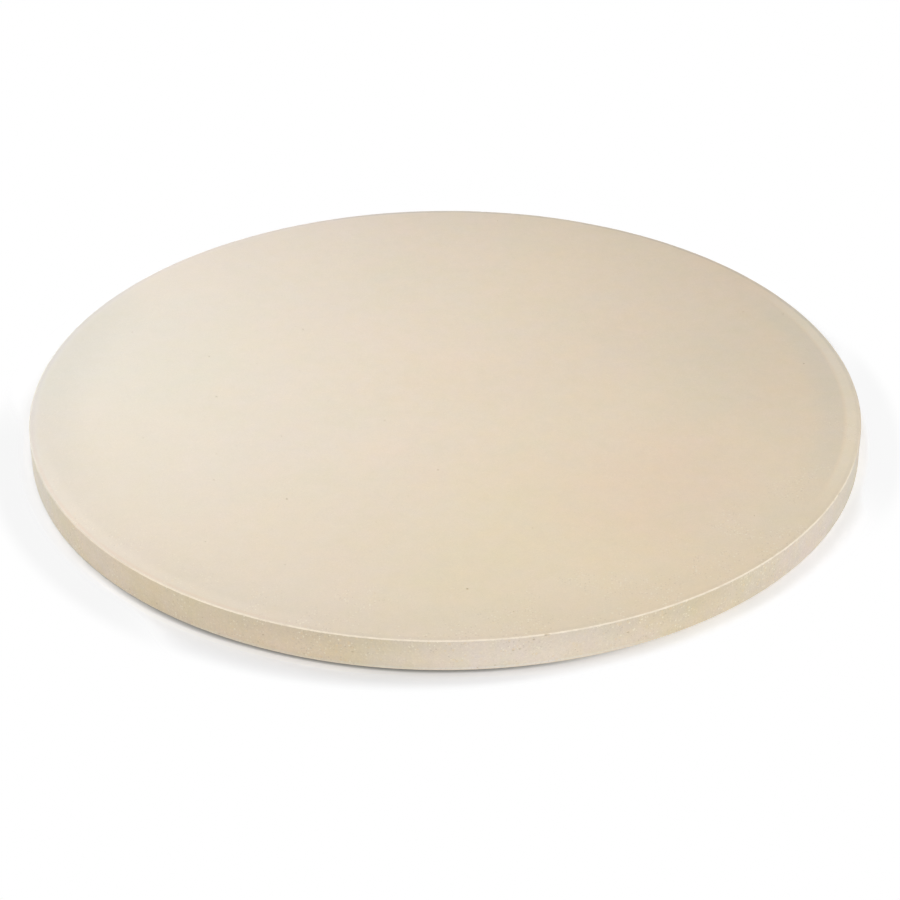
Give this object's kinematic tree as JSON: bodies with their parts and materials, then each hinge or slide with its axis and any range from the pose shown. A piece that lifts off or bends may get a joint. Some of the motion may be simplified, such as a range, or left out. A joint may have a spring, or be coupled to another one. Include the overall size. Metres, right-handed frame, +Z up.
{
  "type": "pizza stone",
  "caption": "Flat round baking stone: a solid slab of fired cordierite with a straight side, lightly bevelled edges and an eased rim round its baking face.",
  "frame": {"origin": "centre of the flat underside", "axes": "+Z up, out of the baking face, along the slab's axis; the slab is round, so X and Y are any two directions at right angles"},
  "size_m": [0.3799, 0.38, 0.015],
  "materials": {
    "fired_cordierite": "matte, unglazed, fine gritty surface"
  },
  "bodies": {
    "root": {"baking_stone": "fired_cordierite"}
  },
  "joints": []
}
